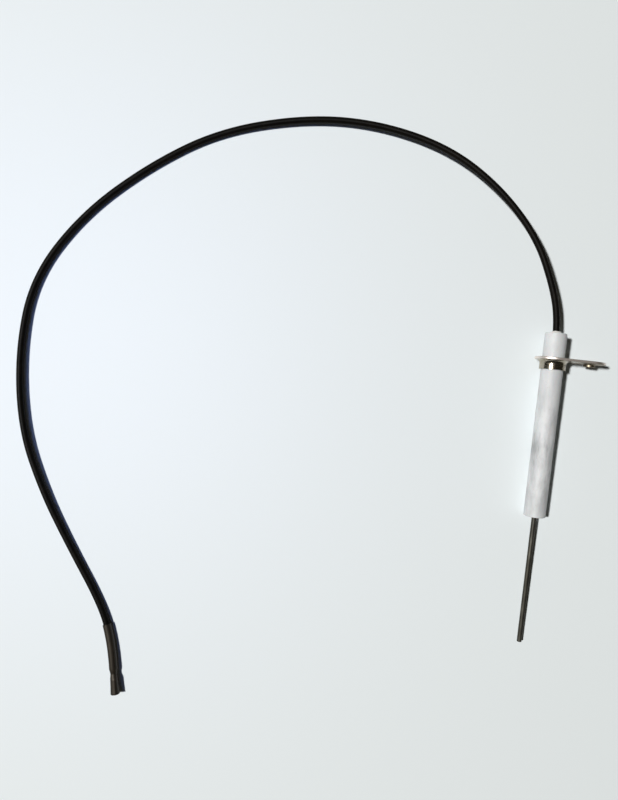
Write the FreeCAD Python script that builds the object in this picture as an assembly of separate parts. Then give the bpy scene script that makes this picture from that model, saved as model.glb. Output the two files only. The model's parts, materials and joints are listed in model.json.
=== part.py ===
"""Flame-sensing electrode of a burner, with its lead: millimetres, one STEP file per piece.

The electrode lies on a flat surface at z = 0, resting on its bracket's flange and on the hot end
of its ceramic. +Y points along it towards the lead, +X towards the bracket's ear. The origin is
under the middle of the electrode, which is measured without the lead and what is on it.

The electrode's own pieces are modelled along its axis first: y = 0 is the bracket's lead-side
face, and placed() then tips them and sets them down.
"""
import FreeCAD, Part
import math
import os

os.makedirs("parts", exist_ok=True)
Vector = FreeCAD.Vector

# Ceramic insulator: a tube with a groove that the bracket's collar is rolled into.
CERAMIC_R = 4.5
GROOVE_R = 4.25
GROOVE_FROM = -4.8
GROOVE_TO = -3.7
CERAMIC_LEAD_END = 10.2
CERAMIC_HOT_END = -66.1
CERAMIC_EDGE = 0.35
ROD_BORE_R = 1.1
POCKET_R = 2.3
LEAD_POCKET_FLOOR = -9.1
HOT_POCKET_DEPTH = 2.5

# Electrode rod: its bare length runs from the ceramic to the tip.
ROD_R = 1.0
ROD_BARE = 53.5
ROD_TIP_EDGE = 0.15
ROD_BACK_END = -2.8

# Ferrule that joins the rod to the lead's conductor, inside the ceramic.
FERRULE_R = 1.8
FERRULE_START = -8.9
FERRULE_END = 4.1
FERRULE_ROD_DEPTH = 6.2
FERRULE_WIRE_DEPTH = 6.0
FERRULE_FIT = 0.03
CRIMP_DEPTH = 0.25
CRIMP_WIDTH = 1.2
CRIMP_CENTRES = (-7.2, -4.6, 1.2)

# Cement that seals both ends of the ceramic.
CEMENT_GAP = 0.02
LEAD_CEMENT_START = 5.6
LEAD_CEMENT_PROUD = 0.9

# Bracket: one pressing with a drawn collar and an ear.
SHEET = 1.0
FLANGE_R = 7.45
COLLAR_BORE_R = 4.52
COLLAR_R = 5.3
COLLAR_END = -4.85
COLLAR_OUTER_FILLET = 1.6
COLLAR_INNER_FILLET = 0.9
BEAD_R = 4.3
BEAD_GAP = 0.05
BEAD_SLOPE = 0.25
EAR_HOLE_X = 15.0
EAR_R = 6.5
SCREW_R = 1.65
BOSS_R = 2.3
BOSS_END = -2.2
BOSS_FILLET = 0.4
SCREW_LEAD_IN = 0.3
PRESSED_EDGE = 0.2

# Lead: stranded conductor, silicone insulation and glass braid.
CONDUCTOR_R = 0.65
INSULATION_BORE_R = 0.68
INSULATION_R = 1.13
BRAID_BORE_R = 1.16
BRAID_R = 1.4
BRAID_START = 5.0
INSULATION_START = 4.6
CONDUCTOR_START = -1.8
INSULATION_BARED = 2.25
CONDUCTOR_BARED = 4.8
SETBACK = 0.45

# Push-on receptacle on the lead's far end, measured forward from the end of the braid.
TERMINAL_SHEET = 0.25
TERMINAL_ROLL = 65
GRIP_FROM = 0.3
GRIP_TO = 2.1
WIRE_CRIMP_FROM = 3.0
WIRE_CRIMP_TO = 4.6
SOCKET_FROM = 5.8
SOCKET_TO = 11.8
ROLL_R = 0.75
ROLL_X = 1.0
TAB_THICKNESS = 0.5
NECK_HALF_WIDTH = 0.35
NECK_RISE_FROM = 2.3
NECK_DROP = 0.05
SEAM = 0.25
DIMPLE_R = 0.4

# Sleeve over the receptacle: round on the lead, drawn in at the crimp and oval over the socket.
# Its later sections are distance forward from the end of the braid, half width and half height.
SLEEVE_R = 1.72
SLEEVE_WALL = 0.27
SLEEVE_BEFORE_CORNER = 8.8
SLEEVE_SECTIONS = [
    (1.8, 1.72, 1.72),
    (2.4, 1.7, 1.7),
    (3.4, 1.36, 1.36),
    (4.6, 1.36, 1.36),
    (5.6, 2.16, 1.58),
    (9.0, 2.2, 1.66),
    (12.4, 2.3, 1.86),
]

# Where the electrode lies: tipped about X until flange and hot end both touch the surface.
TILT = math.atan((FLANGE_R - CERAMIC_R) / (-SHEET - CERAMIC_HOT_END - CERAMIC_EDGE))
AXIS_Z = FLANGE_R * math.cos(TILT) + SHEET * math.sin(TILT)
AXIS_X = (FLANGE_R - EAR_HOLE_X - EAR_R) / 2
ROD_TIP = CERAMIC_HOT_END - ROD_BARE
AXIS_Y = -((CERAMIC_LEAD_END + LEAD_CEMENT_PROUD + ROD_TIP) * math.cos(TILT)) / 2


def on_axis(along):
    """Return the point of the electrode's axis at this distance from the bracket's face."""
    return Vector(AXIS_X, AXIS_Y + along * math.cos(TILT), AXIS_Z + along * math.sin(TILT))


# Route of the lead's centre: out of the ceramic, down to the surface and round in one big loop.
LEAD_ROUTE = [
    on_axis(BRAID_START),
    on_axis(15.0),
    Vector(-10.5, 83, 8.5),
    Vector(-19.5, 103, 8.5),
    Vector(-37.5, 122.5, 7.5),
    Vector(-60, 137, 5.5),
    Vector(-90, 144.5, 3.5),
    Vector(-120, 144, 2.5),
    Vector(-155, 135, 1.5),
    Vector(-183, 117.5, 1.5),
    Vector(-209, 94, 1.5),
    Vector(-227, 65, 1.7),
    Vector(-229.5, 33, 2.3),
    Vector(-224.5, 1, 2.6),
    Vector(-213, -24, 2.2),
    Vector(-200, -45, 1.7),
    Vector(-183, -70, 1.6),
    Vector(-177.5, -85, 1.9),
    Vector(-176, -93, 2.05),
]


def revolved(outline):
    """Turn a closed outline of edges, drawn in the XY plane, about the Y axis."""
    face = Part.Face(Part.Wire(outline))
    return face.revolve(Vector(0, 0, 0), Vector(0, 1, 0), 360)


def polygon(points):
    """Return the edges of a closed polygon, given as (radius, along) pairs."""
    corners = [Vector(radius, along, 0) for radius, along in points]
    return [Part.LineSegment(a, b).toShape() for a, b in zip(corners, corners[1:] + corners[:1])]


def ring(inner_r, outer_r, start, end):
    """Return a tube about the Y axis."""
    return revolved(polygon([(inner_r, start), (outer_r, start), (outer_r, end), (inner_r, end)]))


def rod(radius, start, end):
    """Return a cylinder about the Y axis."""
    return Part.makeCylinder(radius, end - start, Vector(0, start, 0), Vector(0, 1, 0))


def placed(shape):
    """Tip a piece of the electrode and set it down on the surface."""
    turn = FreeCAD.Rotation(Vector(1, 0, 0), math.degrees(TILT))
    where = FreeCAD.Placement(Vector(AXIS_X, AXIS_Y, AXIS_Z), turn)
    return shape.transformed(where.toMatrix(), copy=True)


def ceramic_insulator():
    """Return the white tube, with a pocket for the splice and one for the hot end's cement."""
    hot_pocket_floor = CERAMIC_HOT_END + HOT_POCKET_DEPTH
    return revolved(polygon([
        (POCKET_R, CERAMIC_HOT_END),
        (CERAMIC_R - CERAMIC_EDGE, CERAMIC_HOT_END),
        (CERAMIC_R, CERAMIC_HOT_END + CERAMIC_EDGE),
        (CERAMIC_R, GROOVE_FROM),
        (GROOVE_R, GROOVE_FROM),
        (GROOVE_R, GROOVE_TO),
        (CERAMIC_R, GROOVE_TO),
        (CERAMIC_R, CERAMIC_LEAD_END - CERAMIC_EDGE),
        (CERAMIC_R - CERAMIC_EDGE, CERAMIC_LEAD_END),
        (POCKET_R, CERAMIC_LEAD_END),
        (POCKET_R, LEAD_POCKET_FLOOR),
        (ROD_BORE_R, LEAD_POCKET_FLOOR),
        (ROD_BORE_R, hot_pocket_floor),
        (POCKET_R, hot_pocket_floor),
    ]))


def electrode_rod():
    """Return the rod, from its tip to its end inside the ferrule."""
    blank = rod(ROD_R, ROD_TIP, ROD_BACK_END)
    tip_edges = [edge for edge in blank.Edges if edge.BoundBox.YMax < ROD_TIP + ROD_R / 2]
    return blank.makeChamfer(ROD_TIP_EDGE, tip_edges)


def splice_ferrule():
    """Return the crimped ferrule: one bore for the rod, a narrower one for the conductor."""
    barrel = rod(FERRULE_R, FERRULE_START, FERRULE_END)
    barrel = barrel.cut(rod(ROD_R + FERRULE_FIT, FERRULE_START, FERRULE_START + FERRULE_ROD_DEPTH))
    barrel = barrel.cut(rod(CONDUCTOR_R + FERRULE_FIT, FERRULE_END - FERRULE_WIRE_DEPTH, FERRULE_END))
    for centre in CRIMP_CENTRES:
        groove = revolved(polygon([
            (FERRULE_R - CRIMP_DEPTH, centre - CRIMP_WIDTH / 4),
            (FERRULE_R + CRIMP_DEPTH, centre - CRIMP_WIDTH / 2 - CRIMP_DEPTH),
            (FERRULE_R + CRIMP_DEPTH, centre + CRIMP_WIDTH / 2 + CRIMP_DEPTH),
            (FERRULE_R - CRIMP_DEPTH, centre + CRIMP_WIDTH / 4),
        ]))
        barrel = barrel.cut(groove)
    return barrel


def hot_end_cement():
    """Return the ring of cement that holds the rod where it leaves the ceramic."""
    return ring(ROD_R + CEMENT_GAP, POCKET_R - CEMENT_GAP, CERAMIC_HOT_END,
                CERAMIC_HOT_END + HOT_POCKET_DEPTH - CEMENT_GAP)


def lead_end_cement():
    """Return the cement round the lead, which stands proud of the ceramic in a low dome."""
    inner = BRAID_R + CEMENT_GAP
    outer = POCKET_R - CEMENT_GAP
    top = CERAMIC_LEAD_END + LEAD_CEMENT_PROUD
    rim = Vector(outer, CERAMIC_LEAD_END, 0)
    crest = Vector(inner, top, 0)
    swell = Vector(inner + 0.6 * (outer - inner), CERAMIC_LEAD_END + 0.6 * LEAD_CEMENT_PROUD, 0)
    floor_in = Vector(inner, LEAD_CEMENT_START, 0)
    floor_out = Vector(outer, LEAD_CEMENT_START, 0)
    return revolved([
        Part.LineSegment(floor_in, floor_out).toShape(),
        Part.LineSegment(floor_out, rim).toShape(),
        Part.Arc(rim, swell, crest).toShape(),
        Part.LineSegment(crest, floor_in).toShape(),
    ])


def ear_outline():
    """Return the bracket's outline: the round flange and the ear, joined by tangents."""
    lean = math.acos((FLANGE_R - EAR_R) / EAR_HOLE_X)
    touch = Vector(math.cos(lean), 0, math.sin(lean))
    mirrored = Vector(touch.x, 0, -touch.z)
    ear = Vector(EAR_HOLE_X, 0, 0)
    flange_up, flange_down = touch * FLANGE_R, mirrored * FLANGE_R
    ear_up, ear_down = ear + touch * EAR_R, ear + mirrored * EAR_R
    return Part.Wire([
        Part.LineSegment(flange_up, ear_up).toShape(),
        Part.Arc(ear_up, ear + Vector(EAR_R, 0, 0), ear_down).toShape(),
        Part.LineSegment(ear_down, flange_down).toShape(),
        Part.Arc(flange_down, Vector(-FLANGE_R, 0, 0), flange_up).toShape(),
    ])


def drawn_collar():
    """Return the collar, curved where it is drawn out of the sheet, with its bead in the groove."""
    lip = COLLAR_R + COLLAR_OUTER_FILLET
    mouth = COLLAR_BORE_R + COLLAR_INNER_FILLET
    slant = math.sqrt(0.5)
    outer_mid = Vector(lip - COLLAR_OUTER_FILLET * slant,
                       -SHEET - COLLAR_OUTER_FILLET * (1 - slant), 0)
    inner_mid = Vector(mouth - COLLAR_INNER_FILLET * slant, -COLLAR_INNER_FILLET * (1 - slant), 0)
    foot_in = Vector(COLLAR_BORE_R, COLLAR_END, 0)
    foot_out = Vector(COLLAR_R, COLLAR_END, 0)
    neck = Vector(COLLAR_R, -SHEET - COLLAR_OUTER_FILLET, 0)
    lip_low = Vector(lip, -SHEET, 0)
    lip_high = Vector(lip, 0, 0)
    mouth_high = Vector(mouth, 0, 0)
    throat = Vector(COLLAR_BORE_R, -COLLAR_INNER_FILLET, 0)
    bead_start = Vector(COLLAR_BORE_R, GROOVE_TO - BEAD_GAP, 0)
    bead_high = Vector(BEAD_R, GROOVE_TO - BEAD_GAP - BEAD_SLOPE, 0)
    bead_low = Vector(BEAD_R, GROOVE_FROM + BEAD_GAP + BEAD_SLOPE, 0)
    bead_end = Vector(COLLAR_BORE_R, GROOVE_FROM + BEAD_GAP, 0)
    return revolved([
        Part.LineSegment(foot_in, foot_out).toShape(),
        Part.LineSegment(foot_out, neck).toShape(),
        Part.Arc(neck, outer_mid, lip_low).toShape(),
        Part.LineSegment(lip_low, lip_high).toShape(),
        Part.LineSegment(lip_high, mouth_high).toShape(),
        Part.Arc(mouth_high, inner_mid, throat).toShape(),
        Part.LineSegment(throat, bead_start).toShape(),
        Part.LineSegment(bead_start, bead_high).toShape(),
        Part.LineSegment(bead_high, bead_low).toShape(),
        Part.LineSegment(bead_low, bead_end).toShape(),
        Part.LineSegment(bead_end, foot_in).toShape(),
    ])


def screw_boss():
    """Return the plunged boss round the ear's hole, before the hole is cut."""
    shank = rod(BOSS_R, BOSS_END, -SHEET / 2)
    foot = Part.makeCone(BOSS_R, BOSS_R + BOSS_FILLET, BOSS_FILLET,
                         Vector(0, -SHEET - BOSS_FILLET, 0), Vector(0, 1, 0))
    return shank.fuse(foot).translated(Vector(EAR_HOLE_X, 0, 0))


def mounting_bracket():
    """Return the bracket: flange, drawn collar, ear and tapped boss in one piece of sheet."""
    plate = Part.Face(ear_outline()).extrude(Vector(0, -SHEET, 0))
    rim_edges = [edge for edge in plate.Edges if edge.BoundBox.YLength < PRESSED_EDGE]
    plate = plate.makeFillet(PRESSED_EDGE, rim_edges)
    plate = plate.cut(rod(COLLAR_BORE_R + COLLAR_INNER_FILLET, -SHEET, 0))
    blank = plate.fuse([drawn_collar(), screw_boss()])
    screw_hole = rod(SCREW_R, BOSS_END, 0)
    lead_in = Part.makeCone(SCREW_R, SCREW_R + SCREW_LEAD_IN, SCREW_LEAD_IN,
                            Vector(0, -SCREW_LEAD_IN, 0), Vector(0, 1, 0))
    hole = screw_hole.fuse(lead_in).translated(Vector(EAR_HOLE_X, 0, 0))
    return blank.cut(hole).removeSplitter()


def corner_setbacks(points):
    """Return what each inner corner takes off its runs: a share of the shorter of the two."""
    runs = [(after - before).Length for before, after in zip(points, points[1:])]
    return [SETBACK * min(before, after) for before, after in zip(runs, runs[1:])]


def rounded_path(points, setbacks, report=False):
    """Return the wire of straight runs joined by tangent arcs, one arc at each inner point."""
    edges = []
    start = points[0]
    for before, corner, after, setback in zip(points, points[1:], points[2:], setbacks):
        inward = (corner - before).normalize()
        outward = (after - corner).normalize()
        half_turn = inward.getAngle(outward) / 2
        radius = setback / math.tan(half_turn)
        to_centre = (outward - inward).normalize()
        arc_start = corner - inward * setback
        arc_end = corner + outward * setback
        arc_middle = corner + to_centre * (radius / math.cos(half_turn) - radius)
        edges.append(Part.LineSegment(start, arc_start).toShape())
        edges.append(Part.Arc(arc_start, arc_middle, arc_end).toShape())
        start = arc_end
        if report:
            print("turn %5.1f deg, radius %6.1f mm" % (math.degrees(2 * half_turn), radius))
    edges.append(Part.LineSegment(start, points[-1]).toShape())
    return Part.Wire(edges)


def swept(path, outer_r, inner_r=0.0):
    """Sweep a disc, or a ring when an inner radius is given, along the path."""
    start = path.Edges[0].Vertexes[0].Point
    forward = path.Edges[0].tangentAt(path.Edges[0].FirstParameter)
    outer = Part.Wire(Part.Circle(start, forward, outer_r).toShape())
    solid = path.makePipeShell([outer], True, True)
    area = math.pi * outer_r ** 2
    if inner_r:
        inner = Part.Wire(Part.Circle(start, forward, inner_r).toShape())
        solid = solid.cut(path.makePipeShell([inner], True, True))
        area -= math.pi * inner_r ** 2
    print("swept %.1f mm, volume %.1f mm3, section times length %.1f mm3"
          % (path.Length, solid.Volume, area * path.Length))
    return solid


def lead_layer(start_on_axis, bared, outer_r, inner_r=0.0, report=False):
    """Return one layer of the lead, from inside the ceramic to past the end of the braid."""
    setbacks = corner_setbacks(LEAD_ROUTE)
    forward = (LEAD_ROUTE[-1] - LEAD_ROUTE[-2]).normalize()
    points = [on_axis(start_on_axis)] + LEAD_ROUTE[1:-1] + [LEAD_ROUTE[-1] + forward * bared]
    return swept(rounded_path(points, setbacks, report), outer_r, inner_r)


def at_lead_end(shape):
    """Place a piece modelled with +Y forward on the far end of the braid, rolled on its side."""
    forward = (LEAD_ROUTE[-1] - LEAD_ROUTE[-2]).normalize()
    side = forward.cross(Vector(0, 0, 1)).normalize()
    turn = FreeCAD.Rotation(side, forward, side.cross(forward), "YZX")
    turn = turn.multiply(FreeCAD.Rotation(Vector(0, 1, 0), TERMINAL_ROLL))
    return shape.transformed(FreeCAD.Placement(LEAD_ROUTE[-1], turn).toMatrix(), copy=True)


def crimped_ring(inner_r, start, end):
    """Return a wrapped barrel of terminal sheet with its seam on top."""
    barrel = ring(inner_r, inner_r + TERMINAL_SHEET, start, end)
    seam = Part.makeBox(SEAM, end - start, inner_r + TERMINAL_SHEET, Vector(-SEAM / 2, start, 0))
    return barrel.cut(seam)


def socket():
    """Return the socket for a flat tab: a floor whose edges are rolled up and inwards."""
    crimp_low = -(CONDUCTOR_R + CEMENT_GAP + TERMINAL_SHEET)
    roll_z = crimp_low + ROLL_R
    long = SOCKET_TO - SOCKET_FROM
    forward = Vector(0, 1, 0)
    tube = Part.makeCylinder(ROLL_R, long, Vector(ROLL_X, SOCKET_FROM, roll_z), forward)
    bore = Part.makeCylinder(ROLL_R - TERMINAL_SHEET, long, Vector(ROLL_X, SOCKET_FROM, roll_z),
                             forward)
    slot = Part.makeBox(ROLL_R, long, TAB_THICKNESS,
                        Vector(ROLL_X - ROLL_R, SOCKET_FROM, crimp_low + TERMINAL_SHEET))
    right = tube.cut([bore, slot])
    left = right.mirror(Vector(0, 0, 0), Vector(1, 0, 0))
    floor_from = WIRE_CRIMP_TO - SEAM
    floor = Part.makeBox(2 * ROLL_X, long, TERMINAL_SHEET, Vector(-ROLL_X, SOCKET_FROM, crimp_low))
    neck = Part.makeBox(2 * NECK_HALF_WIDTH, SOCKET_FROM - floor_from, TERMINAL_SHEET,
                        Vector(-NECK_HALF_WIDTH, floor_from, crimp_low))
    dimple = Part.makeCylinder(DIMPLE_R, TERMINAL_SHEET,
                               Vector(0, (SOCKET_FROM + SOCKET_TO) / 2, crimp_low))
    return floor.cut(dimple).fuse([right, left, neck])


def tab_receptacle():
    """Return the push-on receptacle: grip, neck, wire crimp and socket, bent from one strip."""
    grip_r = INSULATION_R + CEMENT_GAP
    crimp_r = CONDUCTOR_R + CEMENT_GAP
    grip_low = -grip_r - TERMINAL_SHEET + NECK_DROP
    crimp_low = -crimp_r - TERMINAL_SHEET
    neck_profile = [
        (GRIP_TO - SEAM, grip_low),
        (NECK_RISE_FROM, grip_low),
        (WIRE_CRIMP_FROM, crimp_low),
        (WIRE_CRIMP_TO, crimp_low),
        (WIRE_CRIMP_TO, -crimp_r),
        (WIRE_CRIMP_FROM, -crimp_r),
        (NECK_RISE_FROM, -grip_r - CEMENT_GAP),
        (GRIP_TO - SEAM, -grip_r - CEMENT_GAP),
    ]
    corners = [Vector(-NECK_HALF_WIDTH, along, up) for along, up in neck_profile]
    neck = Part.Face(Part.makePolygon(corners + corners[:1])).extrude(Vector(2 * NECK_HALF_WIDTH, 0, 0))
    grip = crimped_ring(grip_r, GRIP_FROM, GRIP_TO)
    crimp = crimped_ring(crimp_r, WIRE_CRIMP_FROM, WIRE_CRIMP_TO)
    return at_lead_end(grip.fuse([neck, crimp, socket()]).removeSplitter())


def oval(along, half_wide, half_high):
    """Return an ellipse across the far end of the lead, wider than it is high."""
    curve = Part.Ellipse(Vector(0, 0, 0), half_wide, half_high).toShape()
    curve.rotate(Vector(0, 0, 0), Vector(1, 0, 0), 90)
    return Part.Wire(curve.translated(Vector(0, along, 0)))


def sleeve_body(thinner):
    """Return the sleeve's outer solid, or with its wall's thickness taken off, its inner space."""
    corner = LEAD_ROUTE[-2]
    inward = (corner - LEAD_ROUTE[-3]).normalize()
    outward = (LEAD_ROUTE[-1] - corner).normalize()
    round_end = LEAD_ROUTE[-1] + outward * SLEEVE_SECTIONS[0][0]
    points = [corner - inward * SLEEVE_BEFORE_CORNER, corner, round_end]
    path = rounded_path(points, corner_setbacks(LEAD_ROUTE)[-1:])
    sections = [oval(along, wide - thinner, high - thinner)
                for along, wide, high in SLEEVE_SECTIONS]
    oval_end = at_lead_end(Part.makeLoft(sections, True, True))
    return swept(path, SLEEVE_R - thinner).fuse(oval_end)


def terminal_sleeve():
    """Return the sleeve: a round tube that bends with the lead and ends in an oval mouth."""
    return sleeve_body(0.0).cut(sleeve_body(SLEEVE_WALL))


PIECES = {
    "ceramic_insulator": placed(ceramic_insulator()),
    "electrode_rod": placed(electrode_rod()),
    "splice_ferrule": placed(splice_ferrule()),
    "hot_end_cement": placed(hot_end_cement()),
    "lead_end_cement": placed(lead_end_cement()),
    "mounting_bracket": placed(mounting_bracket()),
    "lead_conductor": lead_layer(CONDUCTOR_START, CONDUCTOR_BARED, CONDUCTOR_R),
    "lead_insulation": lead_layer(INSULATION_START, INSULATION_BARED, INSULATION_R,
                                  INSULATION_BORE_R),
    "lead_braid": lead_layer(BRAID_START, 0.0, BRAID_R, BRAID_BORE_R, report=True),
    "tab_receptacle": tab_receptacle(),
    "terminal_sleeve": terminal_sleeve(),
}

for node, shape in PIECES.items():
    if not shape.isValid() or len(shape.Solids) != 1:
        raise ValueError(node + " is not one valid solid")
    shape.Solids[0].exportStep("parts/" + node + ".step")
    box = shape.BoundBox
    print("%-18s %8.1f mm3   x %7.2f %7.2f   y %7.2f %7.2f   z %6.2f %6.2f"
          % (node, shape.Volume, box.XMin, box.XMax, box.YMin, box.YMax, box.ZMin, box.ZMax))
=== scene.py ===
"""Visual model of a flame-sensing electrode with its braided lead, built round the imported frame.

Metres throughout, in the frame of the CAD part: +Z up from the surface that the electrode lies
on, +Y along it towards its lead, +X towards its bracket's ear.
"""
import json
import math

import bpy
import numpy as np
from mathutils import Matrix, Vector, noise


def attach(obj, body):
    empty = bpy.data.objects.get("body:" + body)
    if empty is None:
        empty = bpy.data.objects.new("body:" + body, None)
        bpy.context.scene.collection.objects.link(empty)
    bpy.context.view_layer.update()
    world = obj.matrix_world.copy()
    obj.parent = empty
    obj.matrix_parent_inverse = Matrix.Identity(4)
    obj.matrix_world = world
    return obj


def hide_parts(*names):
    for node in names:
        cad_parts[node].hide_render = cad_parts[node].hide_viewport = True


MM = 0.001

# ---- The lead: route of its centre, control points of one smooth line ----
LEAD_ROUTE = [
    (-0.007025, 0.059189, 0.007716),
    (-0.007025, 0.069178, 0.008171),
    (-0.0105, 0.083, 0.0085),
    (-0.0195, 0.103, 0.0085),
    (-0.0375, 0.1225, 0.0075),
    (-0.06, 0.137, 0.0055),
    (-0.09, 0.1445, 0.0035),
    (-0.12, 0.144, 0.0025),
    (-0.155, 0.135, 0.0015),
    (-0.183, 0.1175, 0.0015),
    (-0.209, 0.094, 0.0015),
    (-0.227, 0.065, 0.0017),
    (-0.2295, 0.033, 0.0023),
    (-0.2245, 0.001, 0.0026),
    (-0.213, -0.024, 0.0022),
    (-0.2, -0.045, 0.0017),
    (-0.183, -0.07, 0.0016),
    (-0.1775, -0.085, 0.0019),
    (-0.176, -0.093, 0.00205),
]
LEAD_DIAMETER = 2.8 * MM
BRAID_BORE = 1.16 * MM

# ---- The braid's weave: yarns each way, length of one turn, height of a crest ----
BRAID_YARNS = 8
BRAID_PITCH = 7.5 * MM
BRAID_RELIEF = 0.14 * MM

# ---- Inside the lead: how far each layer is bared past the braid at its start and its end ----
INSULATION_RADIUS = 1.13 * MM
INSULATION_BORE = 0.68 * MM
INSULATION_BARED = (0.4 * MM, 2.25 * MM)
STRAND_RADIUS = 0.215 * MM
STRAND_CIRCLE = 0.43 * MM
STRAND_TWIST = 9.0 * MM
CONDUCTOR_BARED = (6.8 * MM, 4.8 * MM)

# ---- The ceramic inside and under the collar: hidden, so all of it is guessed ----
CERAMIC_EDGE = 0.35 * MM
CERAMIC_BORE = 1.1 * MM
POCKET_RADIUS = 2.3 * MM
HOT_POCKET_DEPTH = 2.5 * MM
LEAD_POCKET_FLOOR = -9.1 * MM
GROOVE_START = -4.8 * MM
GROOVE_END = -3.7 * MM
GROOVE_RADIUS = 4.25 * MM

# ---- The chip in the ceramic's lead-end rim: a ball taken out of the rim ----
CHIP_RADIUS = 3.35 * MM
CHIP_ACROSS = Vector((5.6, 0.6)) * MM
CHIP_PAST_RIM = 1.7 * MM

# ---- The lead-end cement ----
CEMENT_BORE = 1.42 * MM
CEMENT_PROUD = 0.9 * MM

# ---- The bracket: where its ear starts, and how deep its cut edge reaches ----
EAR_START = 2 * MM
CUT_EDGE_DEPTH = -1.02 * MM

# ---- Sleeve over the receptacle: round on the lead, drawn in at the crimp, oval at its mouth,
# ---- the oval rolled about the lead. Stations in mm: past the braid's end, half width, half height.
SLEEVE_ROLL = math.radians(65)
SLEEVE_LENGTH = 29.2 * MM
SLEEVE_WALL = 0.27 * MM
SLEEVE_STATIONS = [
    (-99.0, 1.72, 1.72),
    (1.8, 1.72, 1.72),
    (2.4, 1.70, 1.70),
    (3.4, 1.36, 1.36),
    (4.6, 1.36, 1.36),
    (5.6, 2.16, 1.58),
    (9.0, 2.20, 1.66),
    (12.4, 2.30, 1.86),
]

# ---- Camera: straight above the surface, turned a little about its own axis ----
CAMERA_PLACE = (-0.08195, 0.0246, 0.260)
CAMERA_ROLL = math.radians(6.14)
CAMERA_LENS_MM = 27.56
CAMERA_SHIFT = (-0.070, 0.0125)

# ---- Light: place lit, direction, distance, size, power and colour ----
KEY_TARGET = Vector((-0.10, 0.02, 0.0))
KEY_DIRECTION = Vector((-0.50, 0.03, 1.0)).normalized()
KEY_DISTANCE = 4.0
KEY_SIZE = 0.34
KEY_POWER = 163.0
KEY_COLOUR = (1.0, 0.99, 0.965)
SKY_TARGET = Vector((-0.23, 0.05, 0.0))
SKY_HEIGHT = 0.30
SKY_SIZE = 0.20
SKY_POWER = 0.028
SKY_COLOUR = (0.28, 0.42, 1.0)
SKY_SPREAD = math.radians(80)
FLOOR_REACH = 3.0
FLOOR_COLOUR = (0.80, 0.85, 0.87, 1.0)

# ---- The room around it, from -X to +X ----
ROOM_STOPS = [
    (0.0, (0.050, 0.050, 0.040)),
    (0.30, (0.030, 0.029, 0.022)),
    (0.52, (0.014, 0.011, 0.008)),
    (1.0, (0.036, 0.034, 0.022)),
]


# ======================================================================= materials
class Material:
    """A node material under construction, with short helpers for the nodes it needs."""

    def __init__(self, name):
        self.data = bpy.data.materials.new(name)
        self.data.use_nodes = True
        self.nodes = self.data.node_tree.nodes
        self.links = self.data.node_tree.links
        self.shader = self.nodes["Principled BSDF"]
        self.place = self.nodes.new("ShaderNodeTexCoord").outputs["Object"]

    def set(self, **values):
        for name, value in values.items():
            self.shader.inputs[name.replace("_", " ")].default_value = value

    def link(self, out, socket):
        self.links.new(out, self.shader.inputs[socket] if isinstance(socket, str) else socket)

    def stretched(self, scale):
        """Return the object coordinates scaled along each axis."""
        node = self.nodes.new("ShaderNodeMapping")
        node.inputs["Scale"].default_value = scale
        self.links.new(self.place, node.inputs["Vector"])
        return node.outputs["Vector"]

    def noise(self, scale, detail=4.0, roughness=0.55, stretch=None):
        node = self.nodes.new("ShaderNodeTexNoise")
        node.inputs["Scale"].default_value = scale
        node.inputs["Detail"].default_value = detail
        node.inputs["Roughness"].default_value = roughness
        self.links.new(self.stretched(stretch) if stretch else self.place, node.inputs["Vector"])
        return node.outputs["Fac"]

    def ramp(self, value, stops):
        """Return the colour of a ramp, whose stops are (position, colour)."""
        node = self.nodes.new("ShaderNodeValToRGB")
        marks = node.color_ramp.elements
        while len(marks) < len(stops):
            marks.new(0.5)
        for mark, (position, colour) in zip(marks, stops):
            mark.position = position
            mark.color = (*colour, 1.0)
        self.links.new(value, node.inputs["Fac"])
        return node.outputs["Color"]

    def grey(self, value, low, high, start=0.0, end=1.0):
        """Return a value mapped from start..end to low..high."""
        node = self.nodes.new("ShaderNodeMapRange")
        for name, number in (("From Min", start), ("From Max", end), ("To Min", low), ("To Max", high)):
            node.inputs[name].default_value = number
        self.links.new(value, node.inputs["Value"])
        return node.outputs["Result"]

    def mix(self, factor, first, second, blend="MIX"):
        """Return a mix of two colours, each a socket or a plain colour."""
        node = self.nodes.new("ShaderNodeMix")
        node.data_type = "RGBA"
        node.blend_type = blend
        for socket, value in ((node.inputs[0], factor), (node.inputs[6], first), (node.inputs[7], second)):
            if isinstance(value, bpy.types.NodeSocket):
                self.links.new(value, socket)
            elif isinstance(value, tuple):
                socket.default_value = (*value, 1.0)
            else:
                socket.default_value = value
        return node.outputs[2]

    def math(self, operation, first, second):
        """Return the result of a math node, whose inputs are sockets or numbers."""
        node = self.nodes.new("ShaderNodeMath")
        node.operation = operation
        for socket, value in zip(node.inputs, (first, second)):
            if isinstance(value, bpy.types.NodeSocket):
                self.links.new(value, socket)
            else:
                socket.default_value = value
        return node.outputs[0]

    def along(self, vector, direction):
        """Return the part of a vector that lies along a direction."""
        node = self.nodes.new("ShaderNodeVectorMath")
        node.operation = "DOT_PRODUCT"
        self.links.new(vector, node.inputs[0])
        node.inputs[1].default_value = direction
        return node.outputs["Value"]

    def attribute(self, name):
        node = self.nodes.new("ShaderNodeAttribute")
        node.attribute_name = name
        return node.outputs["Fac"]

    def bump(self, height, distance, strength=1.0):
        node = self.nodes.new("ShaderNodeBump")
        node.inputs["Distance"].default_value = distance
        node.inputs["Strength"].default_value = strength
        self.links.new(height, node.inputs["Height"])
        self.link(node.outputs["Normal"], "Normal")


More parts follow.
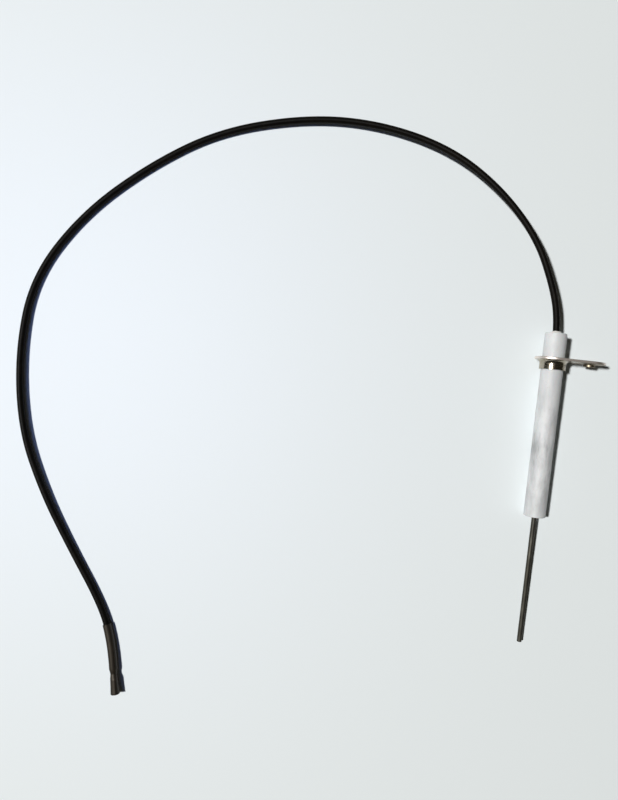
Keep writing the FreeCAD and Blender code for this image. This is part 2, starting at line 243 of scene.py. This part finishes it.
def ceramic_material():
    """White fired ceramic: matt, a little uneven, with grey smudges from handling and heat."""
    m = Material("white_ceramic")
    smudge = m.ramp(m.noise(170, 5, 0.60, (1.0, 0.28, 1.0)), [(0.44, (0, 0, 0)), (0.64, (1, 1, 1))])
    dirt = m.mix(1.0, smudge, m.attribute("smudged"), "MULTIPLY")
    tone = m.ramp(m.noise(260, 3), [(0.3, (0.642, 0.656, 0.670)), (0.7, (0.702, 0.716, 0.730))])
    colour = m.mix(dirt, tone, (0.34, 0.35, 0.36))
    specks = m.ramp(m.noise(1500, 2), [(0.66, (0, 0, 0)), (0.74, (1, 1, 1))])
    m.link(m.mix(m.mix(0.5, (0, 0, 0), specks), colour, (0.42, 0.40, 0.37)), "Base Color")
    m.link(m.grey(m.noise(420), 0.48, 0.66), "Roughness")
    m.set(IOR=1.6, Subsurface_Weight=0.08, Subsurface_Scale=0.002)
    m.bump(m.noise(1300, 6), 0.00006, 0.6)
    return m.data


def cement_material():
    """Grainy off-white ceramic cement."""
    m = Material("ceramic_cement")
    m.link(m.ramp(m.noise(900, 5), [(0.3, (0.70, 0.68, 0.64)), (0.7, (0.86, 0.85, 0.82))]), "Base Color")
    m.link(m.grey(m.noise(700), 0.75, 0.95), "Roughness")
    m.bump(m.noise(2600, 6), 0.00012, 0.8)
    return m.data


def rod_material():
    """Heat-resisting wire: drawn along its length, oxidised dark grey, lighter towards its tip."""
    m = Material("oxidised_rod")
    scale = m.ramp(m.noise(240, 6, 0.6, (1.0, 0.35, 1.0)),
                   [(0.30, (0.046, 0.046, 0.041)),
                    (0.52, (0.098, 0.098, 0.088)),
                    (0.72, (0.19, 0.188, 0.17))])
    heated = m.attribute("heated")
    tint = m.ramp(heated, [(0.0, (0.62, 0.60, 0.58)), (0.35, (0.74, 0.70, 0.63)), (1.0, (0.92, 0.87, 0.80))])
    m.link(m.mix(1.0, scale, tint, "MULTIPLY"), "Base Color")
    m.link(m.grey(m.noise(700, 4, 0.6, (1, 0.2, 1)), 0.42, 0.72), "Roughness")
    m.set(Metallic=0.85)
    m.bump(m.noise(1900, 6, 0.6, (1.0, 0.12, 1.0)), 0.00004, 0.8)
    return m.data


def nickel_material():
    """Warm nickel plating with fine scratches, painted darker on the ear as painted shade, and rougher on the
    cut edge, whose pale pink is bare metal with a painted highlight in it.
    """
    m = Material("nickel_plate")
    bloom = m.ramp(m.noise(330, 5), [(0.35, (0.46, 0.42, 0.345)), (0.65, (0.36, 0.31, 0.235))])
    scratch = m.noise(900, 3, 0.5, (1.0, 6.0, 0.25))
    polished = m.grey(scratch, 0.12, 0.30, 0.3, 0.7)
    facing = m.nodes.new("ShaderNodeNewGeometry").outputs["Normal"]
    across = m.math("LESS_THAN", m.math("ABSOLUTE", m.along(facing, TO_LEAD), 0.0), 0.5)
    height = m.math("SUBTRACT", m.along(m.place, TO_LEAD), AXIS_ORIGIN.dot(TO_LEAD))
    cut = m.math("MULTIPLY", across, m.math("GREATER_THAN", height, CUT_EDGE_DEPTH))
    on_ear = m.math("GREATER_THAN", m.along(m.place, (1, 0, 0)), EAR_START)
    rough = m.mix(cut, m.mix(on_ear, polished, (0.44, 0.44, 0.44)), (0.46, 0.46, 0.46))
    # Painted shade: the ear's plating is coloured darker than the rest, which dims its reflections.
    bloom_and_ear_shade = m.mix(on_ear, bloom, (0.24, 0.20, 0.145))
    # The cut edge's pale pink is partly bare metal and partly a painted highlight.
    m.link(m.mix(cut, bloom_and_ear_shade, (0.95, 0.86, 0.80)), "Base Color")
    m.link(rough, "Roughness")
    m.set(Metallic=1.0)
    m.bump(m.noise(1400, 4), 0.00003, 0.45)
    return m.data


def brass_material(name, dark, light, rough):
    """Tinned or bare brass of the crimped parts."""
    m = Material(name)
    m.link(m.ramp(m.noise(500, 4), [(0.3, dark), (0.7, light)]), "Base Color")
    m.link(m.grey(m.noise(1100), rough, rough + 0.18), "Roughness")
    m.set(Metallic=1.0)
    m.bump(m.noise(2100, 4), 0.00003, 0.5)
    return m.data


def copper_material():
    """Tinned strands, seen as fine lines along the conductor."""
    m = Material("tinned_copper")
    m.link(m.ramp(m.noise(1500, 3), [(0.35, (0.62, 0.47, 0.38)), (0.65, (0.80, 0.74, 0.68))]), "Base Color")
    m.link(m.grey(m.noise(1800), 0.25, 0.45), "Roughness")
    m.set(Metallic=1.0)
    m.bump(m.noise(4200, 2), 0.00005, 0.6)
    return m.data


def silicone_material():
    """Red-brown silicone insulation."""
    m = Material("silicone")
    m.link(m.ramp(m.noise(600, 3), [(0.3, (0.32, 0.085, 0.05)), (0.7, (0.42, 0.12, 0.07))]), "Base Color")
    m.link(m.grey(m.noise(800), 0.5, 0.65), "Roughness")
    m.bump(m.noise(2500, 4), 0.00003, 0.5)
    return m.data


def braid_material():
    """Varnished black glass braid: crests painted dark brown as a painted sheen, and grooves painted black as
    painted shade.
    """
    m = Material("black_braid")
    # Painted shade and sheen: the crest height takes the colour from black in the grooves to dark brown on
    # the crests.
    crest = m.ramp(m.attribute("crest"), [(0.15, (0.0011, 0.0009, 0.0007)), (0.85, (0.0044, 0.0037, 0.0028))])
    yarn = m.ramp(m.attribute("yarn"), [(0.0, (0.72, 0.68, 0.62)), (1.0, (1.0, 1.0, 1.0))])
    dust = m.ramp(m.noise(210, 5), [(0.42, (1.0, 1.0, 1.0)), (0.75, (1.9, 1.75, 1.5))])
    m.link(m.mix(1.0, m.mix(1.0, crest, yarn, "MULTIPLY"), dust, "MULTIPLY"), "Base Color")
    m.link(m.grey(m.noise(950), 0.36, 0.58), "Roughness")
    m.set(Specular_IOR_Level=0.07)
    m.bump(m.noise(5200, 4), 0.00003, 0.7)
    return m.data


def sleeve_material():
    """Soft black sleeving, semi-gloss, with dusty scuffs."""
    m = Material("black_sleeve")
    scuff = m.ramp(m.noise(330, 6, 0.65), [(0.42, (0.0065, 0.0048, 0.0030)), (0.75, (0.020, 0.0150, 0.0098))])
    m.link(scuff, "Base Color")
    m.link(m.grey(m.noise(620, 5), 0.46, 0.60), "Roughness")
    m.set(Specular_IOR_Level=0.5)
    m.set(Specular_Tint=(1.0, 0.90, 0.76, 1.0))
    m.bump(m.noise(2300, 5), 0.00004, 0.7)
    return m.data


# ======================================================================= mesh tools
def mesh_object(name, points, faces, material, body="root"):
    """Make a smooth-shaded object from points and faces, and ride it on a body."""
    mesh = bpy.data.meshes.new(name)
    mesh.from_pydata([tuple(p) for p in points], [], faces)
    mesh.shade_smooth()
    mesh.update()
    mesh.materials.append(material)
    piece = bpy.data.objects.new(name, mesh)
    bpy.context.scene.collection.objects.link(piece)
    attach(piece, body)
    return piece


def loop_faces(rows, columns, closed_rows):
    """Return the quads between rings of points, with the last ring joined to the first if asked."""
    faces = []
    for row in range(rows if closed_rows else rows - 1):
        here = row * columns
        there = (row + 1) % rows * columns
        for column in range(columns):
            beside = (column + 1) % columns
            faces.append((here + column, here + beside, there + beside, there + column))
    return faces


def set_attribute(piece, name, values):
    """Store one number per vertex for a material to read."""
    layer = piece.data.attributes.new(name, "FLOAT", "POINT")
    layer.data.foreach_set("value", np.asarray(values, np.float32))


def fbm(point, scale):
    """Return smooth noise of about -1 to 1 at a point."""
    return noise.fractal(Vector(point) * scale, 0.6, 2.0, 4)


# ======================================================================= the electrode's axis
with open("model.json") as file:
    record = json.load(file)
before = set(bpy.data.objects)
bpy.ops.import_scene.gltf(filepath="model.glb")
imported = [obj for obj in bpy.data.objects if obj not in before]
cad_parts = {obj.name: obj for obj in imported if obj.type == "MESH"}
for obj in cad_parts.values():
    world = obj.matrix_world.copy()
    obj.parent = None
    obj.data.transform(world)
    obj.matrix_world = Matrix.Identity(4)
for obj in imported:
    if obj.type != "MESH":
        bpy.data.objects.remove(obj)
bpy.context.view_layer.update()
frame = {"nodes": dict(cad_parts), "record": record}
record = frame["record"]
nodes = frame["nodes"]
mounts = {mount["name"]: mount for mount in record["mounts"]}
shank = mounts["insulator_shank"]
TO_LEAD = -Vector(shank["axis"]).normalized()
TO_EAR = Vector((1, 0, 0))
UPWARD = TO_EAR.cross(TO_LEAD)
AXIS_ORIGIN = Vector(shank["pos_m"])
AXIS_ORIGIN += TO_LEAD * (Vector(mounts["bracket_face"]["pos_m"]) - AXIS_ORIGIN).dot(TO_LEAD)


def on_electrode(radius, angle, along):
    """Return the point at this radius, angle from the ear and distance from the bracket's face."""
    across = TO_EAR * math.cos(angle) + UPWARD * math.sin(angle)
    return AXIS_ORIGIN + TO_LEAD * along + across * radius


def span(node):
    """Return how far a CAD node reaches along the electrode, and its largest radius."""
    offsets = [v.co - AXIS_ORIGIN for v in nodes[node].data.vertices]
    along = [offset.dot(TO_LEAD) for offset in offsets]
    radius = max((offset - TO_LEAD * a).length for offset, a in zip(offsets, along))
    return min(along), max(along), radius


def turned(name, profile, columns, material, shape=None):
    """Turn a closed profile of (radius, along) about the electrode's axis; shape() moves points."""
    points = []
    for radius, along in profile:
        for column in range(columns):
            angle = 2 * math.pi * column / columns
            local = (radius, angle, along)
            points.append(on_electrode(*(shape(*local) if shape else local)))
    return mesh_object(name, points, loop_faces(len(profile), columns, True), material)


def stepped(start, end, step):
    """Return evenly spaced numbers from start to end, about step apart."""
    count = max(1, round(abs(end - start) / step))
    return [start + (end - start) * i / count for i in range(count + 1)]


def rounded_edge(radius, along, edge, outward, steps=5):
    """Return the points of a rounded rim between a side wall and an end face."""
    angles = [math.pi / 2 * i / steps for i in range(steps + 1)]
    return [(radius - edge + edge * math.cos(a), along + outward * edge * math.sin(a)) for a in angles]


# ======================================================================= camera, light, floor
def make_camera():
    data = bpy.data.cameras.new("camera")
    data.sensor_width = 36.0
    data.lens = CAMERA_LENS_MM
    data.shift_x, data.shift_y = CAMERA_SHIFT
    data.clip_start = 0.01
    camera = bpy.data.objects.new("camera", data)
    camera.location = CAMERA_PLACE
    camera.rotation_euler = (0.0, 0.0, CAMERA_ROLL)
    bpy.context.scene.collection.objects.link(camera)
    bpy.context.scene.camera = camera


def make_floor():
    mesh = bpy.data.meshes.new("table")
    corners = [(-1, -1), (1, -1), (1, 1), (-1, 1)]
    mesh.from_pydata([(x * FLOOR_REACH, y * FLOOR_REACH, 0) for x, y in corners], [], [(0, 1, 2, 3)])
    m = Material("pale_table")
    m.set(Base_Color=FLOOR_COLOUR, Roughness=0.6)
    mesh.materials.append(m.data)
    table = bpy.data.objects.new("table", mesh)
    bpy.context.scene.collection.objects.link(table)


def area_light(name, place, target, size, power, colour):
    data = bpy.data.lights.new(name, "AREA")
    data.shape = "DISK"
    data.size = size
    data.energy = power
    data.color = colour
    lamp = bpy.data.objects.new(name, data)
    lamp.location = place
    lamp.rotation_euler = (Vector(target) - Vector(place)).to_track_quat("-Z", "Y").to_euler()
    bpy.context.scene.collection.objects.link(lamp)
    return lamp


def make_light():
    """A small far key from the left, and a weak blue sky over the left of the lead."""
    key_place = KEY_TARGET + KEY_DIRECTION * KEY_DISTANCE
    area_light("key", key_place, KEY_TARGET, KEY_SIZE, KEY_POWER, KEY_COLOUR)
    sky_place = SKY_TARGET + Vector((0, 0, SKY_HEIGHT))
    sky = area_light("sky", sky_place, SKY_TARGET, SKY_SIZE, SKY_POWER, SKY_COLOUR)
    sky.data.spread = SKY_SPREAD


def make_room():
    """A dim brown and olive room, which the bracket reflects."""
    world = bpy.data.worlds.new("room")
    world.use_nodes = True
    nodes, links = world.node_tree.nodes, world.node_tree.links
    place = nodes.new("ShaderNodeTexCoord")
    split = nodes.new("ShaderNodeSeparateXYZ")
    links.new(place.outputs["Generated"], split.inputs["Vector"])
    spread = nodes.new("ShaderNodeMapRange")
    spread.inputs["From Min"].default_value = -1.0
    links.new(split.outputs["X"], spread.inputs["Value"])
    ramp = nodes.new("ShaderNodeValToRGB")
    marks = ramp.color_ramp.elements
    for position, _ in ROOM_STOPS[1:-1]:
        marks.new(position)
    for mark, (_, colour) in zip(marks, ROOM_STOPS):
        mark.color = (*colour, 1.0)
    links.new(spread.outputs["Result"], ramp.inputs["Fac"])
    links.new(ramp.outputs["Color"], nodes["Background"].inputs["Color"])
    nodes["Background"].inputs["Strength"].default_value = 1.0
    bpy.context.scene.world = world
    bpy.context.scene.view_settings.view_transform = "Standard"


# ======================================================================= pieces
def ceramic_profile(hot, lead, radius):
    """Return the tube's closed profile, from the hot end's pocket out, up and back through the bore."""
    edge = CERAMIC_EDGE
    fine_wall = lead - 4 * MM
    profile = [(POCKET_RADIUS, hot)]
    profile += [(r, hot) for r in stepped(POCKET_RADIUS, radius - edge, 0.5 * MM)[1:-1]]
    profile += rounded_edge(radius, hot + edge, edge, -1)[::-1]
    profile += [(radius, a) for a in stepped(hot + edge, GROOVE_START, 0.7 * MM)[1:]]
    profile += [(GROOVE_RADIUS, GROOVE_START), (GROOVE_RADIUS, GROOVE_END), (radius, GROOVE_END)]
    profile += [(radius, a) for a in stepped(GROOVE_END, fine_wall, 0.5 * MM)[1:]]
    profile += [(radius, a) for a in stepped(fine_wall, lead - edge, 0.12 * MM)[1:-1]]
    profile += rounded_edge(radius, lead - edge, edge, 1)
    profile += [(r, lead) for r in stepped(radius - edge, POCKET_RADIUS, 0.14 * MM)[1:]]
    profile += [(POCKET_RADIUS, a) for a in stepped(lead, LEAD_POCKET_FLOOR, 1.5 * MM)[1:]]
    hot_pocket_floor = hot + HOT_POCKET_DEPTH
    profile += [(CERAMIC_BORE, LEAD_POCKET_FLOOR), (CERAMIC_BORE, hot_pocket_floor)]
    profile.append((POCKET_RADIUS, hot_pocket_floor))
    return profile


def make_ceramic(material):
    """The white tube: rounded rims, a chip out of the lead-end rim, a barely uneven wall."""
    hot, lead, radius = span("ceramic_insulator")
    profile = ceramic_profile(hot, lead, radius)
    chip = Vector((CHIP_ACROSS.x, CHIP_ACROSS.y, lead + CHIP_PAST_RIM))
    wall_left = 1.02 * POCKET_RADIUS

    def worn(r, angle, along):
        spot = Vector((r * math.cos(angle), r * math.sin(angle), along))
        if r > 0.9 * radius:
            r += 0.022 * MM * fbm(spot, 160)
        spot = Vector((r * math.cos(angle), r * math.sin(angle), along))
        offset = spot - chip
        reach = CHIP_RADIUS * (1 + 0.07 * fbm(spot, 900))
        if offset.length < reach and r > wall_left:
            spot = chip + offset.normalized() * reach
            r = max(math.hypot(spot.x, spot.y), wall_left)
            angle, along = math.atan2(spot.y, spot.x), spot.z
        return r, angle, along

    piece = turned("ceramic_tube", profile, 128, material, worn)
    smudged = []
    for vertex in piece.data.vertices:
        along = (vertex.co - AXIS_ORIGIN).dot(TO_LEAD)
        band = math.exp(-((along - (hot + 26 * MM)) / (19 * MM)) ** 2)
        smudged.append(0.22 + 0.78 * band)
    set_attribute(piece, "smudged", smudged)
    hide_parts("ceramic_insulator")


def make_rod(material):
    """The bare rod: drawn wire with a slightly scaly wall and a cropped tip."""
    tip, back, radius = span("electrode_rod")
    edge = 0.15 * MM
    profile = [(0.05 * radius, tip), (0.5 * radius, tip)]
    profile += rounded_edge(radius, tip + edge, edge, -1, 3)[::-1]
    profile += [(radius, a) for a in stepped(tip + edge, back, 0.45 * MM)[1:]]
    profile += [(0.05 * radius, back)]

    def scaly(r, angle, along):
        if r > 0.9 * radius:
            spot = (r * math.cos(angle), r * math.sin(angle), along * 0.3)
            r += 0.02 * MM * fbm(spot, 1100)
        return r, angle, along

    piece = turned("rod", profile, 40, material, scaly)
    heated = [1.0 - min(1.0, max(0.0, ((v.co - AXIS_ORIGIN).dot(TO_LEAD) - tip) / (54 * MM)))
              for v in piece.data.vertices]
    set_attribute(piece, "heated", heated)
    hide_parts("electrode_rod")


def make_lead_cement(material):
    """The ring of cement round the lead, with a hand-smeared face."""
    low, high, radius = span("lead_end_cement")
    rim = high - CEMENT_PROUD
    profile = [(CEMENT_BORE, low), (radius, low), (radius, rim - 0.4 * MM), (radius, rim)]
    for i in range(1, 9):
        part = i / 8
        rise = CEMENT_PROUD * math.sin(part * math.pi / 2)
        profile.append((radius + (CEMENT_BORE - radius) * part, rim + rise))
    face = rim - 0.2 * MM

    def smeared(r, angle, along):
        if along > face:
            spot = (r * math.cos(angle), r * math.sin(angle), along)
            along += 0.16 * MM * fbm(spot, 700)
        return r, angle, along

    piece = turned("lead_cement", profile, 72, material, smeared)
    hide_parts("lead_end_cement")


def spline_points(route):
    """Return the points of the smooth line through a route, as a curve with no bevel gives them."""
    curve = bpy.data.curves.new("lead_line", "CURVE")
    curve.dimensions = "3D"
    curve.resolution_u = 64
    spline = curve.splines.new("NURBS")
    spline.points.add(len(route) - 1)
    for point, place in zip(spline.points, route):
        point.co = (*place, 1.0)
    spline.order_u = 3
    spline.use_endpoint_u = True
    holder = bpy.data.objects.new("lead_line", curve)
    mesh = bpy.data.meshes.new_from_object(holder)
    points = np.array([tuple(v.co) for v in mesh.vertices])
    bpy.data.objects.remove(holder)
    bpy.data.curves.remove(curve)
    bpy.data.meshes.remove(mesh)
    return points


def respaced(points, step):
    """Return points along the same line, evenly about step apart, and their distances."""
    runs = np.linalg.norm(np.diff(points, axis=0), axis=1)
    distance = np.concatenate([[0.0], np.cumsum(runs)])
    count = max(2, round(distance[-1] / step)) + 1
    wanted = np.linspace(0.0, distance[-1], count)
    line = np.stack([np.interp(wanted, distance, points[:, axis]) for axis in range(3)], axis=1)
    return line, wanted


def carried_frames(line):
    """Return for each point the two directions across the line, with +Z carried along as up."""
    ahead = np.gradient(line, axis=0)
    ahead /= np.linalg.norm(ahead, axis=1)[:, None]
    side = np.cross(ahead, np.array([0.0, 0.0, 1.0]))
    side /= np.linalg.norm(side, axis=1)[:, None]
    return side, np.cross(side, ahead)


def tube_points(line, radii_side, radii_up):
    """Return rings round a line; the radii have one row per point and one column per angle."""
    columns = radii_side.shape[1]
    angle = np.linspace(0, 2 * math.pi, columns, endpoint=False)
    side, up = carried_frames(line)
    across = side[:, None, :] * (radii_side * np.cos(angle))[:, :, None]
    across = across + up[:, None, :] * (radii_up * np.sin(angle))[:, :, None]
    return line[:, None, :] + across


def make_braid(line_points, material):
    """The lead: a tube whose wall is the weave of eight yarns each way, over two and under two."""
    line, distance = respaced(line_points, 0.2 * MM)
    columns = 40
    angle = np.linspace(0, 2 * math.pi, columns, endpoint=False)[None, :]
    turn = BRAID_YARNS * angle / (2 * math.pi)
    climb = BRAID_YARNS * distance[:, None] / BRAID_PITCH
    right, left = turn + climb, turn - climb
    right_yarn, left_yarn = np.floor(right).astype(int), np.floor(left).astype(int)
    over = (right_yarn + left_yarn) % 4 < 2

    def crown(phase):
        return np.sqrt(np.clip(1 - (2 * (phase - np.floor(phase)) - 1) ** 2, 0, 1))

    crest = np.where(over, crown(right), crown(left))
    tint = np.where(over, right_yarn * 0.37 % 1.0, left_yarn * 0.61 % 1.0)
    radius = LEAD_DIAMETER / 2 - BRAID_RELIEF + BRAID_RELIEF * crest
    rings = tube_points(line, radius, radius)
    inner_line, _ = respaced(line_points, 1.0 * MM)
    even = np.full((len(inner_line), columns), BRAID_BORE)
    inner = tube_points(inner_line, even, even)[::-1]
    rows = np.concatenate([rings, inner])
    piece = mesh_object("braided_lead", rows.reshape(-1, 3), loop_faces(len(rows), columns, True), material)
    hidden = np.zeros(inner.shape[0] * columns)
    # The crest height is stored for the material, which paints shade into the grooves and sheen onto the
    # crests.
    set_attribute(piece, "crest", np.concatenate([crest.ravel(), hidden]))
    set_attribute(piece, "yarn", np.concatenate([tint.ravel(), hidden]))
    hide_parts("lead_braid")
    return piece, line


def extended(points, back, ahead):
    """Return the line with a straight run added before its start and after its end."""
    first = (points[0] - points[1]) / np.linalg.norm(points[0] - points[1])
    last = (points[-1] - points[-2]) / np.linalg.norm(points[-1] - points[-2])
    parts = [points[:1] + first * back] if back else []
    parts.append(points)
    if ahead:
        parts.append(points[-1:] + last * ahead)
    return np.concatenate(parts)


def end_fans(rings, columns, first, last):
    """Return the triangles that close both ends of a tube onto two added centre points."""
    top = (rings - 1) * columns
    faces = []
    for column in range(columns):
        beside = (column + 1) % columns
        faces.append((first, beside, column))
        faces.append((last, top + column, top + beside))
    return faces


def make_insulation(line_points, material):
    """The silicone insulation under the braid, bared a little at both ends."""
    line, _ = respaced(extended(line_points, *INSULATION_BARED), 0.8 * MM)
    columns = 20
    even = np.ones((len(line), columns))
    outer = tube_points(line, even * INSULATION_RADIUS, even * INSULATION_RADIUS)
    inner = tube_points(line, even * INSULATION_BORE, even * INSULATION_BORE)
    rings = np.concatenate([outer, inner[::-1]])
    piece = mesh_object("insulation", rings.reshape(-1, 3), loop_faces(len(rings), columns, True), material)
    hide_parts("lead_insulation")
    return piece


def make_conductor(line_points, material):
    """The conductor: six strands twisted round a seventh."""
    line, distance = respaced(extended(line_points, *CONDUCTOR_BARED), 0.6 * MM)
    columns = 8
    side, up = carried_frames(line)
    even = np.full((len(line), columns), STRAND_RADIUS)
    points, faces = [], []
    for strand in range(7):
        phase = 2 * math.pi * (distance / STRAND_TWIST + strand / 6)
        offset = STRAND_CIRCLE if strand < 6 else 0.0
        centre = line + offset * (side * np.cos(phase)[:, None] + up * np.sin(phase)[:, None])
        rings = tube_points(centre, even, even).reshape(-1, 3)
        start = sum(len(part) for part in points)
        points.append(np.concatenate([rings, centre[:1], centre[-1:]]))
        own = loop_faces(len(line), columns, False)
        own += end_fans(len(line), columns, len(rings), len(rings) + 1)
        faces += [tuple(start + corner for corner in face) for face in own]
    piece = mesh_object("conductor", np.concatenate(points), faces, material)
    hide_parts("lead_conductor")
    return piece


def bump_at(values, centre, width):
    """Return a smooth bump of height one about a centre."""
    return np.exp(-((values - centre) / width) ** 2)


def make_sleeve(line_points, material):
    """The sleeve, creased along its top near the mouth and softly rippled."""
    step = 0.2 * MM
    past_braid = SLEEVE_STATIONS[-1][0] * MM
    line, _ = respaced(extended(line_points, 0.0, past_braid), step)
    rows = round(SLEEVE_LENGTH / step) + 1
    centre = line[-rows:]
    along = np.arange(rows) * step
    marks = np.array(SLEEVE_STATIONS) * MM
    stations = along[-1] - past_braid + marks[:, 0]
    soften = np.ones(9) / 9
    wide = np.convolve(np.pad(np.interp(along, stations, marks[:, 1]), 4, "edge"), soften, "valid")
    high = np.convolve(np.pad(np.interp(along, stations, marks[:, 2]), 4, "edge"), soften, "valid")
    columns = 72
    angle = np.linspace(0, 2 * math.pi, columns, endpoint=False)[None, :]
    to_mouth = (along[-1] - along)[:, None]
    near_mouth = np.clip(1 - to_mouth / (10 * MM), 0, 1) ** 0.8
    crease = bump_at(angle, math.radians(156), 0.24) * near_mouth
    dent = bump_at(angle, math.radians(262), 0.55) * bump_at(to_mouth, 5.5 * MM, 2.4 * MM)
    ripple = np.zeros((rows, columns))
    for row, s in enumerate(along):
        for column in range(columns):
            a = 2 * math.pi * column / columns
            ripple[row, column] = fbm((math.cos(a) * 0.6, math.sin(a) * 0.6, s / (6 * MM)), 1.3)
    change = -0.12 * MM * crease - 0.15 * MM * dent + 0.02 * MM * ripple
    side, up = carried_frames(centre)
    width_way = side * math.cos(SLEEVE_ROLL) - up * math.sin(SLEEVE_ROLL)
    height_way = side * math.sin(SLEEVE_ROLL) + up * math.cos(SLEEVE_ROLL)

    def skin(inset):
        across = (wide[:, None] + change - inset) * np.cos(angle)
        upward = (high[:, None] + change - inset) * np.sin(angle)
        return centre[:, None, :] + width_way[:, None, :] * across[:, :, None] \
            + height_way[:, None, :] * upward[:, :, None]

    rings = np.concatenate([skin(0.0), skin(SLEEVE_WALL)[::-1]])
    piece = mesh_object("sleeve", rings.reshape(-1, 3), loop_faces(len(rings), columns, True), material)
    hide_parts("terminal_sleeve")
    return piece


def dress(node, material):
    """Give a CAD piece that keeps its own shape its material."""
    data = nodes[node].data
    data.materials.clear()
    data.materials.append(material)


make_camera()
make_floor()
make_light()
make_room()
route_line = spline_points(LEAD_ROUTE)
braid, braid_line = make_braid(route_line, braid_material())
sleeve = make_sleeve(route_line, sleeve_material())
insulation = make_insulation(route_line, silicone_material())
conductor = make_conductor(route_line, copper_material())
make_ceramic(ceramic_material())
make_rod(rod_material())
cement = cement_material()
make_lead_cement(cement)
dress("hot_end_cement", cement)
dress("mounting_bracket", nickel_material())
dress("splice_ferrule", brass_material("ferrule_brass", (0.62, 0.44, 0.20), (0.80, 0.62, 0.34), 0.25))
dress("tab_receptacle", brass_material("terminal_brass", (0.62, 0.55, 0.40), (0.78, 0.72, 0.58), 0.22))
